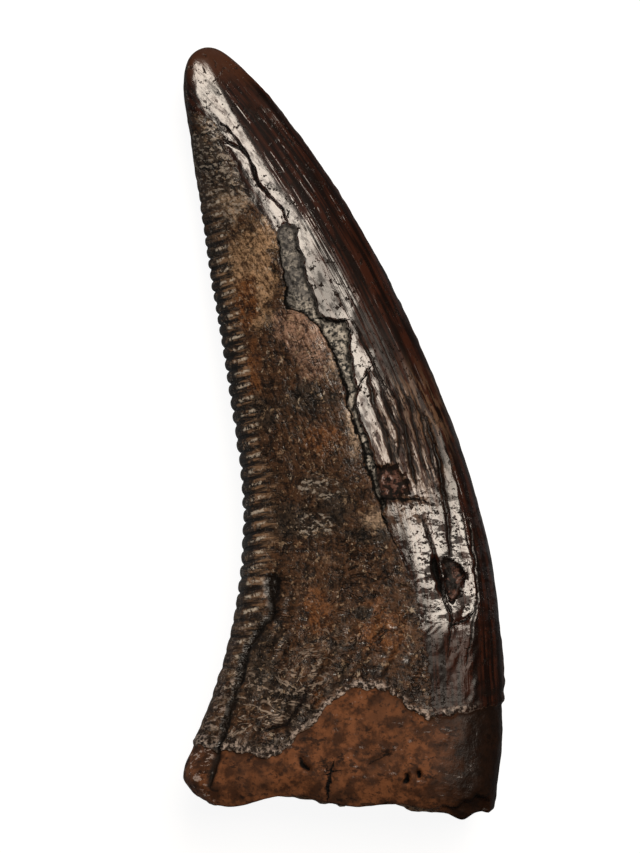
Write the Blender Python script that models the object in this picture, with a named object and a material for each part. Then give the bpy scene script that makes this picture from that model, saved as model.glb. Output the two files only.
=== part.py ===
"""A fossil tyrannosaur tooth: one recurved, serrated crown with the worn stump of its root.

The tooth lies on one broad side, on z = 0, with its tip towards +Y, its serrated cutting edge
(the carina) towards -X and its rounded front (mesial) edge towards +X. The origin is on the
surface under the middle of its bounding box. Sizes below are in millimetres, and the mesh is
in metres.

The surface is a loft. Each row crosses the tooth from the carina to the mesial edge over the
upper face and comes back under it, and its section is a closed quadratic B-spline. Serrations,
chipped enamel, cracks and the root's edge are then carved into the loft along its normals.
"""

import bpy
import numpy as np
from mathutils import Vector, geometry, noise

MM = 0.001

# ---- driving dimensions, in millimetres ----
LENGTH = 30.0  # tip to broken base
PHOTO_LENGTH = 772.0  # the same in the photograph's pixels
PHOTO_ORIGIN = (342.3, 432.0)  # the pixel where x and y are 0
PHOTO_SCALE = LENGTH / PHOTO_LENGTH
UPPER_SHARE = 0.29  # height of the upper face over the mid plane, as a share of the row's width
LOWER_SHARE = 0.27  # the same for the face that the tooth lies on
REST_WEAR = 0.10  # how much of the lower belly is worn to a flat, which the tooth rests on
TIP_HEIGHT = 1.7  # height of the tip over the surface, as the tooth lies
DENTICLE_DEPTH = 0.20  # depth of the notches between the serrations
DENTICLE_REACH = 0.75  # how far the serrations run in from the carina
DENTICLE_FULL = 0.15  # how far in the notches keep their full depth
NOTCH_WIDTH = 0.17  # width of a notch, in serrations
NOTCH_SLANT = 0.35  # how far along the carina, in serrations, a notch drifts in 1 mm inwards
ENAMEL_DEPTH = 0.24  # thickness of the enamel, so the depth of a chip
ENAMEL_LIP = 0.06  # how far the enamel's end stands up in a crust
LIP_WIDTH = 0.16  # width of that crust
ROOT_STEP = 0.07  # how far the root stands back from the enamel that ends on it
WRINKLE_DEPTH = 0.07  # depth of the slanting wrinkles round the foot of the crown
WRINKLE_RUN = (0.48, 0.88)  # their direction, up towards the mesial edge
WRINKLE_WIDTH = 0.55
WRINKLE_LENGTH = 2.0
WAVE_HEIGHT = 0.04  # slow waves in the whole surface
WAVE_SIZE = 1.7
STRIATION_DEPTH = 0.09  # depth of the long hollows worn down the crest
BASE_DISH = 0.85  # hollow of the broken base
BREAK_GRAIN = 0.38  # spacing of the points that the broken base is made of
FLAT_WITHIN = 0.012  # what comes this near the surface is worn flat with the rest
TRIANGLES = 8800  # the solid's budget

# ---- mesh density of the loft, before it is decimated ----
ROWS = 330
ROW_CROWDING = 1.25  # over 1, rows crowd towards the tip, so that its dome is as round as the rest
COLUMNS_A_CORNER = (4, 12, 12, 14, 12, 7, 5, 8, 8, 8, 8, 4)

# The outline seen from above, from the base's heel up the carina, round the tip and down the
# mesial edge: only the places that a smooth curve needs. Its topmost point is the tip.
CARINA_SIDE = (
    (-5.7, -14.05), (-6.15, -13.3), (-5.85, -12.3), (-5.1, -10.5), (-4.35, -8.1), (-3.95, -5.8),
    (-3.8, -3.5), (-4.05, -0.4), (-4.65, 3.5), (-5.35, 7.9), (-5.95, 12.1), (-6.1, 13.8),
    (-5.75, 14.75),
)
TIP = (-5.2, 15.0)
MESIAL_SIDE = (
    (-4.1, 14.45), (-2.0, 12.15), (0.5, 8.45), (3.1, 3.35), (4.95, -1.45), (5.95, -5.6),
    (6.3, -9.4), (6.3, -11.8), (6.0, -14.5),
)

# How far the broken base hangs below a straight line between its two corners, by the share of
# the way across from the carina.
BASE_EDGE = (
    (0.00, 0.00), (0.10, 0.34), (0.23, -0.02), (0.34, -0.24), (0.45, 0.00), (0.57, 0.06),
    (0.64, -0.08), (0.73, -0.03), (0.80, 0.15), (0.85, 0.40), (0.905, 0.50), (0.94, 0.26),
    (0.975, 0.15), (1.00, 0.00),
)
BASE_FADE = 3.2  # the wave of the base's edge dies out this far up the tooth

# The corners of a section, over the upper face from the carina to the mesial edge. For each
# station (share of the way from base to tip): how far across each corner lies, and its height
# as a share of the face's own.
STATIONS = (0.0, 0.12, 0.30, 0.42, 0.54, 0.68, 0.80, 0.92, 1.0)
ACROSS = (
    (0.0, 0.10, 0.36, 0.70, 0.90, 1.0),
    (0.0, 0.07, 0.34, 0.70, 0.90, 1.0),
    (0.0, 0.055, 0.31, 0.66, 0.89, 1.0),
    (0.0, 0.055, 0.27, 0.56, 0.85, 1.0),
    (0.0, 0.055, 0.25, 0.52, 0.81, 1.0),
    (0.0, 0.06, 0.24, 0.47, 0.76, 1.0),
    (0.0, 0.06, 0.20, 0.44, 0.80, 1.0),
    (0.0, 0.05, 0.15, 0.36, 0.80, 1.0),
    (0.0, 0.05, 0.16, 0.34, 0.80, 1.0),
)
HEIGHTS = (
    (0.46, 0.74, 0.88, 1.02, 0.93, 0.56),
    (0.24, 0.52, 0.79, 1.03, 0.92, 0.52),
    (0.11, 0.38, 0.70, 1.05, 0.90, 0.48),
    (0.10, 0.36, 0.70, 1.05, 0.90, 0.46),
    (0.10, 0.36, 0.70, 1.05, 0.88, 0.42),
    (0.10, 0.36, 0.75, 1.05, 0.77, 0.36),
    (0.12, 0.44, 0.88, 1.05, 0.64, 0.30),
    (0.20, 0.62, 0.97, 1.02, 0.52, 0.24),
    (0.30, 0.74, 1.00, 1.00, 0.54, 0.28),
)
# The tip is plump for its width, so both faces are this much higher there.
PLUMPNESS = (1.0, 1.0, 1.0, 1.0, 1.0, 1.0, 1.05, 1.22, 1.62)
# The lower face's corners, from the mesial edge back to the carina.
LOWER_ACROSS = (1.0, 0.88, 0.56, 0.26, 0.06, 0.0)
LOWER_HEIGHTS = (-0.50, -0.88, -1.05, -0.74, -0.38, -0.12)

# The serrations: their pitch at distances from the tip along the carina, and how deep they are
# there, as a share of DENTICLE_DEPTH. They are worn off near the tip and low down.
DENTICLE_PITCH = ((0.0, 0.44), (12.0, 0.44), (15.5, 0.57), (19.0, 0.52), (24.0, 0.60), (30.0, 0.60))
DENTICLE_WEAR = (
    (0.0, 0.0), (5.4, 0.0), (6.8, 0.55), (9.0, 0.9), (13.0, 1.0), (21.5, 0.9), (23.0, 0.55),
    (27.5, 0.40), (28.6, 0.0), (31.0, 0.0),
)

# The root's edge: where the enamel ends, as a height along Y by the share of the way across.
ROOT_EDGE_UPPER = (
    (0.00, -12.1), (0.12, -12.2), (0.24, -12.35), (0.33, -12.1), (0.42, -11.1), (0.50, -10.1),
    (0.58, -9.8), (0.66, -10.0), (0.74, -10.8), (0.84, -10.9), (0.92, -10.5), (1.00, -10.6),
)
ROOT_EDGE_LOWER = (
    (0.00, -12.1), (0.15, -11.6), (0.35, -10.6), (0.55, -10.9), (0.75, -10.2), (1.00, -10.6),
)


def seen_at(*places):
    """A stroke on the upper face, (x, y, half width) in millimetres, from the pixels that show it."""
    across, down = PHOTO_ORIGIN
    return tuple(
        ((x - across) * PHOTO_SCALE, (down - y) * PHOTO_SCALE, radius * PHOTO_SCALE)
        for x, y, radius in places
    )


# Strokes are chains of (x, y, half width) on a face, carved as deep as their mark says.
CHIP = seen_at(
    (291, 232, 8), (293, 250, 10), (297, 270, 11), (300, 290, 12), (304, 304, 12), (312, 310, 8),
    (325, 325, 8), (338, 334, 9),
)
CRACK = seen_at(
    (338, 335, 8), (342, 352, 6), (346, 372, 5), (351, 397, 5), (358, 420, 4.5), (366, 445, 4),
    (372, 470, 3), (379, 492, 2.2),
)
PIT = seen_at((431, 556, 4), (436, 572, 5), (441, 594, 3))
SCAR = seen_at((449, 571, 8), (455, 586, 7))
GROOVE = seen_at(
    (274, 586, 4), (275, 609, 4), (262, 626, 5), (250, 647, 6), (241, 679, 6), (235, 699, 5),
    (228, 718, 5), (221, 749, 4.5), (217, 766, 4),
)
STRIATIONS = (
    seen_at((372, 352, 0.8), (380, 380, 1.6), (392, 410, 1.6), (402, 440, 1.3), (410, 470, 0.8)),
    seen_at((398, 372, 0.8), (410, 400, 1.6), (420, 430, 1.6), (430, 458, 0.8)),
    seen_at((401, 499, 0.8), (409, 527, 1.6), (414, 550, 0.8)),
)
BASE_CRACK = seen_at((335, 759, 1.2), (331, 770, 2.4), (330, 787, 1.6))
LEDGE = ((3.50, -14.85, 0.30), (4.50, -14.80, 0.48), (5.40, -14.40, 0.36))
LOWER_CHIP = ((1.6, -7.9, 0.45), (1.9, -6.6, 0.62), (1.7, -5.3, 0.40), (1.2, -4.2, 0.18))
LOWER_CRACK = ((1.2, -4.2, 0.14), (0.5, -2.0, 0.11), (0.2, 0.6, 0.09), (-0.9, 3.6, 0.07))
# For each mark: its stroke, how deep it is and how wide its sloping edge is.
UPPER_MARKS = (
    (CHIP, ENAMEL_DEPTH, 0.12),
    (CRACK, 0.31, 0.14),
    (PIT, 0.38, 0.16),
    (SCAR, 0.17, 0.25),
    (GROOVE, 0.24, 0.45),
    (BASE_CRACK, 0.20, 0.12),
    (LEDGE, 0.24, 0.10),
) + tuple((striation, STRIATION_DEPTH, 0.16) for striation in STRIATIONS)
LOWER_MARKS = ((LOWER_CHIP, ENAMEL_DEPTH, 0.15), (LOWER_CRACK, ENAMEL_DEPTH, 0.12))


def ramp(value, start, end):
    """0 before start, 1 after end, and smooth between. start may be the larger of the two."""
    share = np.clip((value - start) / (end - start), 0.0, 1.0)
    return share * share * (3.0 - 2.0 * share)


def spline(knots, points, places):
    """Points at the places of the natural cubic spline that takes these points at these knots."""
    knots, points = np.asarray(knots, float), np.asarray(points, float)
    gaps = np.diff(knots)
    slopes = np.diff(points, axis=0) / (gaps if points.ndim == 1 else gaps[:, None])
    system = np.eye(len(knots))
    for i in range(1, len(knots) - 1):
        system[i, i - 1 : i + 2] = gaps[i - 1], 2.0 * (gaps[i - 1] + gaps[i]), gaps[i]
    bends = np.zeros_like(points)
    bends[1:-1] = 6.0 * np.diff(slopes, axis=0)
    bends = np.linalg.solve(system, bends)
    span = np.clip(np.searchsorted(knots, places) - 1, 0, len(gaps) - 1)
    gap, along = gaps[span], places - knots[span]
    if points.ndim > 1:
        gap, along = gap[:, None], along[:, None]
    before, after = bends[span], bends[span + 1]
    rise = (points[span + 1] - points[span]) / gap - gap * (2.0 * before + after) / 6.0
    return points[span] + along * (rise + along * (before / 2.0 + along * (after - before) / gap / 6.0))


def curve_through(points, count):
    """count places, evenly spaced along the smooth curve through the points."""
    points = np.asarray(points, float)
    knots = np.concatenate([[0.0], np.cumsum(np.linalg.norm(np.diff(points, axis=0), axis=1))])
    return spline(knots, points, np.linspace(0.0, knots[-1], count))


def by_share(pairs, share):
    """The smooth function that takes the (share, value) pairs."""
    table = np.asarray(pairs, float)
    return spline(table[:, 0], table[:, 1], share)


def edges_of_rows():
    """The two ends of each row, from base to tip: one on the carina, one on the mesial edge."""
    fine = 4001
    outline = curve_through(CARINA_SIDE + (TIP,) + MESIAL_SIDE, fine)
    tip = int(np.argmax(outline[:, 1]))
    share = 1.0 - (1.0 - np.linspace(0.0, 1.0, ROWS)) ** ROW_CROWDING
    carina = np.interp(share, np.linspace(0, 1, tip + 1), np.arange(tip + 1))
    mesial = np.interp(share, np.linspace(0, 1, fine - tip), np.arange(fine - 1, tip - 1, -1))
    steps = np.arange(fine)
    pick = lambda place: np.stack([np.interp(place, steps, outline[:, k]) for k in (0, 1)], axis=1)
    return share, pick(carina), pick(mesial)


def section(corners):
    """A closed quadratic B-spline for each row: its points, from corners of shape (rows, n, k)."""
    parts = []
    count = corners.shape[1]
    for i, steps in enumerate(COLUMNS_A_CORNER):
        corner = corners[:, i]
        start = (corners[:, i - 1] + corner) / 2.0
        end = (corner + corners[:, (i + 1) % count]) / 2.0
        for s in np.arange(steps) / steps:
            parts.append((1 - s) ** 2 * start + 2 * s * (1 - s) * corner + s * s * end)
    return np.stack(parts, axis=1)


def loft():
    """The plain form. Returns its points as (rows, columns, 3), and what carving needs."""
    share, carina, mesial = edges_of_rows()
    width = np.linalg.norm(mesial - carina, axis=1)
    across = spline(STATIONS, ACROSS, share)
    depth = width * spline(STATIONS, PLUMPNESS, share)
    upper = spline(STATIONS, HEIGHTS, share) * (UPPER_SHARE * depth)[:, None]
    lower = np.outer(LOWER_SHARE * depth, LOWER_HEIGHTS)
    lower_across = np.tile(LOWER_ACROSS, (ROWS, 1))
    corners = np.concatenate(
        [np.stack([across, upper], -1), np.stack([lower_across, lower], -1)], axis=1
    )
    points = section(corners)
    place, height = points[..., 0], points[..., 1]
    plan = carina[:, None] + (mesial - carina)[:, None] * place[..., None]
    from_base = share[:, None] * LENGTH
    plan[..., 1] -= by_share(BASE_EDGE, np.clip(place, 0, 1).ravel()).reshape(place.shape) * (
        1.0 - ramp(from_base, 0.0, BASE_FADE)
    )
    belly = -height.min(axis=1)
    lifted = ramp(share, 0.60, 0.95)
    middle = (belly - REST_WEAR) * (1.0 - lifted) + TIP_HEIGHT * lifted
    grid = np.concatenate([plan, (middle[:, None] + height)[..., None]], axis=-1)
    return grid, share, place, height, width


def stroke_depth(x, y, stroke, edge):
    """1 inside a stroke and 0 outside it, over an edge this wide."""
    nearest = np.full(x.shape, np.inf)
    for (x0, y0, r0), (x1, y1, r1) in zip(stroke[:-1], stroke[1:]):
        dx, dy = x1 - x0, y1 - y0
        t = np.clip(((x - x0) * dx + (y - y0) * dy) / (dx * dx + dy * dy), 0.0, 1.0)
        gap = np.hypot(x - x0 - t * dx, y - y0 - t * dy) - (r0 + t * (r1 - r0))
        nearest = np.minimum(nearest, gap)
    return 1.0 - ramp(nearest, -edge / 2.0, edge / 2.0)


def lumps(grid, size, seed):
    """Smooth noise between about -1 and 1, with lumps of this size."""
    flat = grid.reshape(-1, 3) / size + seed
    values = [noise.noise(Vector(p)) for p in flat]
    return np.array(values).reshape(grid.shape[:-1])


def denticles(share, place, width):
    """Depth of the notches along the carina, in millimetres."""
    carina = curve_through(CARINA_SIDE + (TIP,), 400)
    length = np.linalg.norm(np.diff(carina, axis=0), axis=1).sum()
    from_tip = (1.0 - share) * length
    fine = np.linspace(0.0, length, 2000)
    pitch = np.interp(fine, *np.transpose(DENTICLE_PITCH))
    count = np.concatenate([[0.0], np.cumsum(np.diff(fine) / pitch[1:])])
    worn = np.interp(from_tip, *np.transpose(DENTICLE_WEAR))
    inward = place * width[:, None]
    phase = np.interp(from_tip, fine, count)[:, None] + NOTCH_SLANT * inward
    from_notch = np.abs((phase + 0.5) % 1.0 - 0.5)
    notch = np.exp(-((from_notch / NOTCH_WIDTH) ** 2))
    return DENTICLE_DEPTH * worn[:, None] * notch * (1.0 - ramp(inward, DENTICLE_FULL, DENTICLE_REACH))


def carving(grid, share, place, height, width):
    """How deep the surface is cut along its normal, in millimetres."""
    x, y = grid[..., 0], grid[..., 1]
    upper = ramp(height, 0.0, 0.3)
    lower = ramp(-height, 0.0, 0.3)
    cut = denticles(share, place, width)
    for marks, face in ((UPPER_MARKS, upper), (LOWER_MARKS, lower)):
        for stroke, depth, edge in marks:
            cut = np.maximum(cut, face * depth * stroke_depth(x, y, stroke, edge))
    shares = np.clip(place, 0, 1).ravel()
    upper_edge = by_share(ROOT_EDGE_UPPER, shares).reshape(place.shape)
    lower_edge = by_share(ROOT_EDGE_LOWER, shares).reshape(place.shape)
    root_edge = lower_edge + (upper_edge - lower_edge) * ramp(height, -0.5, 0.5)
    cut += ROOT_STEP * ramp(root_edge - y, -0.05, 0.12)
    cut -= ENAMEL_LIP * np.exp(-(((y - root_edge) / LIP_WIDTH - 1.0) ** 2))
    # The wrinkles die out up the crown and at the root.
    run_x, run_y = WRINKLE_RUN
    beside = (run_y * x - run_x * y) / WRINKLE_WIDTH
    along = (run_x * x + run_y * y) / WRINKLE_LENGTH
    turned = np.stack([beside, along, grid[..., 2]], -1)
    crown_foot = ramp(-y, 3.5, 6.5) * ramp(y - root_edge, 0.0, 0.8) * ramp(place, 0.10, 0.30)
    cut += WRINKLE_DEPTH * lumps(turned, 1.0, 7.0) * crown_foot
    cut += WAVE_HEIGHT * lumps(grid, WAVE_SIZE, 3.0) * (1.0 - ramp(share, 0.75, 0.95))[:, None]
    return cut


def normals_of(grid):
    """Unit normals of a grid that closes on itself across its columns, facing outwards."""
    along = np.gradient(grid, axis=0)
    around = np.roll(grid, -1, axis=1) - np.roll(grid, 1, axis=1)
    normal = np.cross(around, along)
    size = np.linalg.norm(normal, axis=-1, keepdims=True)
    return normal / np.maximum(size, 1e-9)


def break_across(rim):
    """The broken base inside its rim: the points within, and triangles over rim and points."""
    low, high = rim.min(axis=0), rim.max(axis=0)
    columns = np.arange(low[0], high[0], BREAK_GRAIN)
    lines = np.arange(low[2], high[2], BREAK_GRAIN * 0.87)
    x, z = np.meshgrid(columns, lines)
    x[1::2] += BREAK_GRAIN / 2.0
    x, z = x.ravel(), z.ravel()
    gap = np.hypot(x[:, None] - rim[:, 0], z[:, None] - rim[:, 2])
    after = np.roll(rim, -1, axis=0)
    crossing = (rim[:, 2] > z[:, None]) != (after[:, 2] > z[:, None])
    rise = np.where(after[:, 2] == rim[:, 2], 1e-9, after[:, 2] - rim[:, 2])
    beyond = x[:, None] < rim[:, 0] + (z[:, None] - rim[:, 2]) / rise * (after[:, 0] - rim[:, 0])
    inside = ((crossing & beyond).sum(axis=1) % 2 == 1) & (gap.min(axis=1) > 0.6 * BREAK_GRAIN)
    x, z, gap = x[inside], z[inside], gap[inside]
    weight = 1.0 / gap**2
    y = (weight * rim[:, 1]).sum(axis=1) / weight.sum(axis=1)
    in_from_rim = gap.min(axis=1)
    points = np.stack([x, y, z], axis=-1)
    rough = 0.30 * lumps(points, 1.3, 11.0) + 0.16 * lumps(points, 0.55, 17.0)
    points[:, 1] += BASE_DISH * ramp(in_from_rim, 0.3, 2.6) + rough * ramp(in_from_rim, 0.0, 0.7)
    flat = [Vector((p[0], p[2])) for p in np.concatenate([rim, points])]
    loop = [(i, (i + 1) % len(rim)) for i in range(len(rim))]
    triangles = geometry.delaunay_2d_cdt(flat, loop, [], 1, 1e-7)[2]
    return points, triangles


def closed_mesh(name, grid, tip):
    """A mesh from the broken base, over every ring of the grid, to the tip."""
    rows, columns = grid.shape[:2]
    within, triangles = break_across(grid[0])
    points = np.concatenate([grid.reshape(-1, 3), [tip], within])
    index = np.arange(rows * columns).reshape(rows, columns)
    after = np.roll(index, -1, axis=1)
    quads = np.stack([index[:-1], after[:-1], after[1:], index[1:]], -1).reshape(-1, 4)
    top = [(rows * columns, int(a), int(b)) for a, b in zip(index[-1], after[-1])]
    # The triangles count the rim first, which is the grid's first ring, and then the points within.
    base = [[i if i < columns else i - columns + rows * columns + 1 for i in t] for t in triangles]
    mesh = bpy.data.meshes.new(name)
    mesh.from_pydata((points * MM).tolist(), [], quads.tolist() + top + base)
    mesh.validate()
    return mesh


def tooth_mesh():
    grid, share, place, height, width = loft()
    cut = carving(grid, share, place, height, width)
    grid = grid - normals_of(grid) * cut[..., None]
    tip = grid[-1].mean(axis=0)
    grid = grid[:-1]
    # What would reach below the surface is worn flat, and the tooth rests on that.
    grid[..., 2] = np.maximum(grid[..., 2], 0.0)
    middle = (grid.reshape(-1, 3).min(axis=0) + grid.reshape(-1, 3).max(axis=0)) / 2.0
    middle[2] = 0.0
    return closed_mesh("tooth_fine", grid - middle, tip - middle)


def fossil_enamel():
    material = bpy.data.materials.new("fossil_enamel")
    material.use_nodes = True
    shader = material.node_tree.nodes["Principled BSDF"]
    shader.inputs["Base Color"].default_value = (0.075, 0.035, 0.018, 1.0)
    shader.inputs["Roughness"].default_value = 0.35
    shader.inputs["Metallic"].default_value = 0.0
    return material


def with_fewer_faces(source):
    """The mesh with TRIANGLES triangles, its worn flat still flat, and the original removed."""
    fine = bpy.data.objects.new("tooth_fine", source)
    bpy.context.scene.collection.objects.link(fine)
    decimate = fine.modifiers.new("fewer_faces", "DECIMATE")
    decimate.ratio = TRIANGLES / sum(len(face.vertices) - 2 for face in source.polygons)
    graph = bpy.context.evaluated_depsgraph_get()
    mesh = bpy.data.meshes.new_from_object(fine.evaluated_get(graph))
    bpy.data.objects.remove(fine)
    bpy.data.meshes.remove(source)
    for vertex in mesh.vertices:
        if vertex.co.z < FLAT_WITHIN * MM:
            vertex.co.z = 0.0
    mesh.name = "tooth"
    return mesh


def main():
    for obj in list(bpy.data.objects):
        bpy.data.objects.remove(obj)
    collection = bpy.data.collections.new("fossil_tyrannosaur_tooth")
    bpy.context.scene.collection.children.link(collection)
    tooth = bpy.data.objects.new("tooth", with_fewer_faces(tooth_mesh()))
    tooth.data.materials.append(fossil_enamel())
    tooth.data.shade_smooth()
    collection.objects.link(tooth)


main()
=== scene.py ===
"""The look of a fossil tyrannosaur tooth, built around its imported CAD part.

The tooth lies on one broad side, tip towards +Y, serrated edge (the carina) towards -X. The fine
surface is a loft of closed B-spline sections, as the part is, with the serrations, chips, cracks,
wrinkles and root's edge modelled in it. Sizes are in millimetres until the mesh is made.

Each vertex also carries what its material needs: how far it is from the cracks, the chips, the
root's edge and the carina, and how stained it is. The material sharpens those with noise.
"""

import itertools

import bpy
import numpy as np
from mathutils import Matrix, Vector, geometry


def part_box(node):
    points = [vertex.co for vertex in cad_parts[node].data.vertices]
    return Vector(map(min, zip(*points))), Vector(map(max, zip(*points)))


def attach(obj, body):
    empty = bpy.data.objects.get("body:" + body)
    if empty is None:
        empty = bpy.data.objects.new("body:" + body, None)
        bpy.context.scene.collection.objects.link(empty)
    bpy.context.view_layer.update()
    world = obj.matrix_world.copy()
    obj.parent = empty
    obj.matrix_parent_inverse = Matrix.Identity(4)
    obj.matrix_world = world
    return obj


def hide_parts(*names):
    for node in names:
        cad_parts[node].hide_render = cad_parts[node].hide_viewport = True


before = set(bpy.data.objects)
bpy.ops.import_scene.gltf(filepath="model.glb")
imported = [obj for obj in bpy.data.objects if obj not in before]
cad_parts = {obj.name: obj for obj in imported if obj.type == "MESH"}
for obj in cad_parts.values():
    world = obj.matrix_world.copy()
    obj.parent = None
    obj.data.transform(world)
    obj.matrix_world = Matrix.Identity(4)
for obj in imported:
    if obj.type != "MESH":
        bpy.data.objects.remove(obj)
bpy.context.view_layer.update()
NODE = "tooth"
BODY = "root"

MM = 0.001

# ---- the form, as in the part ----
UPPER_SHARE = 0.29  # how far the upper side rises, as a share of the width
LOWER_SHARE = 0.27
REST_WEAR = 0.10  # worn off the lowest place, where the tooth rests
TIP_HEIGHT = 1.7
LENGTH = 30.0
# The photograph, in its own pixels: the tooth's length there, and where x and y are 0.
PHOTO_SIZE = (640, 853)
PHOTO_LENGTH = 772.0
PHOTO_ORIGIN = (342.3, 432.0)
PHOTO_SCALE = LENGTH / PHOTO_LENGTH
BASE_DISH = 0.85  # how deep the broken base is dished
BASE_FADE = 3.2  # how far up from the base its uneven edge still shows

# ---- the mesh ----
ROWS = 436
ROW_CROWDING = 1.10  # over 1, rows crowd towards the tip
COLUMNS_A_CORNER = (9, 25, 33, 38, 22, 20, 16, 9, 5, 7, 12, 11, 8, 5)  # the upper side's first
BREAK_GRAIN = 0.19  # distance between the points of the broken base
OUTLINE_SAMPLES = 6001
CARINA_SAMPLES = 400
PHASE_SAMPLES = 4000

# ---- the fine surface ----
DENTICLE_DEPTH = 0.18
DENTICLE_REACH = 1.25
SULCUS_SLANT = 0.42  # how far along the carina, in serrations, a notch drifts in 1 mm inwards
ENAMEL_DEPTH = 0.24
ENAMEL_LIP = 0.06
ROOT_STEP = 0.07
WRINKLE_DEPTH = 0.085
WRINKLE_TURN = (0.88, 0.48)  # cosine and sine of the turn of the wrinkles' axes
BAND_WRINKLE_DEPTH = 0.045
BAND_WRINKLE_TURN = (0.80, -0.60)
WAVE_DEPTH = 0.016
FAR = 9.0  # added to a distance where a mark is on the tooth's other side
GAP_LIMIT = 2.0  # the greatest distance that is kept for the material
LINE_LIMIT = 6.0  # the same for lines, in half widths
TINY = 1e-9  # in place of a 0 to divide by

CARINA_SIDE = (
    (-5.7, -14.05), (-6.15, -13.3), (-5.85, -12.3), (-5.1, -10.5), (-4.35, -8.1), (-3.95, -5.8),
    (-3.8, -3.5), (-4.05, -0.4), (-4.65, 3.5), (-5.35, 7.9), (-5.95, 12.1), (-6.1, 13.8),
    (-5.75, 14.75),
)
TIP = (-5.2, 15.0)
MESIAL_SIDE = (
    (-4.1, 14.45), (-2.0, 12.15), (0.5, 8.45), (3.1, 3.35), (4.95, -1.45), (5.95, -5.6),
    (6.3, -9.4), (6.3, -11.8), (6.0, -14.5),
)
BASE_EDGE = (
    (0.00, 0.00), (0.10, 0.34), (0.23, -0.02), (0.34, -0.24), (0.45, 0.00), (0.57, 0.06),
    (0.64, -0.08), (0.73, -0.03), (0.80, 0.15), (0.85, 0.40), (0.905, 0.50), (0.94, 0.26),
    (0.975, 0.15), (1.00, 0.00),
)
# Sections at these shares of the length: where each corner of the upper side is, from the carina
# (0) to the mesial edge (1), how high it is there, and how plump the section is.
STATIONS = (0.0, 0.12, 0.30, 0.42, 0.54, 0.68, 0.80, 0.92, 1.0)
ACROSS = (
    (0.0, 0.10, 0.36, 0.70, 0.82, 0.91, 0.970, 1.0),
    (0.0, 0.07, 0.34, 0.70, 0.81, 0.90, 0.970, 1.0),
    (0.0, 0.055, 0.31, 0.66, 0.80, 0.925, 0.975, 1.0),
    (0.0, 0.055, 0.27, 0.56, 0.76, 0.92, 0.975, 1.0),
    (0.0, 0.055, 0.25, 0.52, 0.70, 0.86, 0.955, 1.0),
    (0.0, 0.06, 0.24, 0.45, 0.60, 0.74, 0.90, 1.0),
    (0.0, 0.06, 0.20, 0.40, 0.52, 0.63, 0.84, 1.0),
    (0.0, 0.03, 0.10, 0.30, 0.42, 0.53, 0.80, 1.0),
    (0.0, 0.03, 0.10, 0.28, 0.40, 0.52, 0.80, 1.0),
)
HEIGHTS = (
    (0.46, 0.74, 0.88, 1.02, 0.975, 0.90, 0.78, 0.56),
    (0.24, 0.52, 0.79, 1.03, 0.980, 0.91, 0.74, 0.52),
    (0.11, 0.38, 0.70, 1.05, 0.975, 0.895, 0.76, 0.48),
    (0.10, 0.36, 0.70, 1.05, 0.955, 0.865, 0.74, 0.46),
    (0.10, 0.36, 0.70, 1.05, 0.955, 0.84, 0.70, 0.42),
    (0.10, 0.36, 0.75, 1.06, 0.985, 0.86, 0.60, 0.34),
    (0.12, 0.44, 0.88, 1.07, 1.020, 0.92, 0.55, 0.28),
    (0.30, 0.86, 1.050, 1.045, 1.000, 0.910, 0.47, 0.22),
    (0.36, 0.90, 1.050, 1.035, 1.000, 0.92, 0.54, 0.26),
)
PLUMPNESS = (1.0, 1.0, 1.0, 1.0, 1.0, 1.0, 1.05, 1.22, 1.62)
LOWER_ACROSS = (1.0, 0.88, 0.56, 0.26, 0.06, 0.0)
LOWER_HEIGHTS = (-0.50, -0.88, -1.05, -0.74, -0.38, -0.12)

# Pitch of the serrations by distance from the tip along the carina, and how deep they are there.
DENTICLE_PITCH = ((0.0, 0.44), (12.0, 0.44), (15.5, 0.57), (19.0, 0.52), (24.0, 0.60), (30.0, 0.60))
DENTICLE_WEAR = (
    (0.0, 0.0), (5.4, 0.0), (6.8, 0.55), (9.0, 0.9), (13.0, 1.0), (21.5, 0.9), (23.0, 0.50),
    (25.5, 0.30), (28.0, 0.0), (31.0, 0.0),
)
ROOT_EDGE_LOWER = (
    (0.00, -12.1), (0.15, -11.6), (0.35, -10.6), (0.55, -10.9), (0.75, -10.2), (1.00, -10.4),
)


def seen_at(*places):
    """Places on the upper face, from the pixels that show them: (x, y) or (x, y, half width)."""
    across, down = PHOTO_ORIGIN
    return tuple(
        ((x - across) * PHOTO_SCALE, (down - y) * PHOTO_SCALE, *(r * PHOTO_SCALE for r in radius))
        for x, y, *radius in places
    )


def all_seen(*marks):
    return tuple(seen_at(*mark) for mark in marks)


# Where the photograph shows the marks. Strokes are chains of (x, y, half width), and patches are
# outlines of (x, y).
ROOT_EDGE_UPPER = seen_at(
    (186, 742), (205, 744), (222, 749), (239, 747), (258, 752), (266, 756), (279, 752), (293, 741),
    (299, 731), (310, 725), (320, 716), (325, 706), (332, 700), (343, 693), (353, 686), (363, 684),
    (368, 688), (376, 684), (390, 690), (402, 695), (405, 702), (418, 711), (427, 715), (446, 712),
    (485, 704), (503, 700),
)
MAIN_CRACK = seen_at(
    (279, 238, 1.2), (281, 252, 1.0), (285, 270, 0.9), (288, 284, 1.1), (286, 299, 1.6),
    (291, 309, 1.4), (304, 312, 1.3), (314, 321, 1.0), (324, 331, 1.2), (330, 341, 1.6),
    (336, 355, 1.9), (341, 368, 1.9), (346, 382, 2.2), (348, 394, 1.9), (350, 406, 1.5),
    (353, 422, 1.6), (360, 438, 1.6), (365, 450, 1.9), (368, 464, 1.8), (373, 480, 1.9),
    (378, 496, 1.6), (384, 514, 1.2), (391, 532, 1.0), (399, 548, 0.8), (408, 566, 0.6),
)
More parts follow.
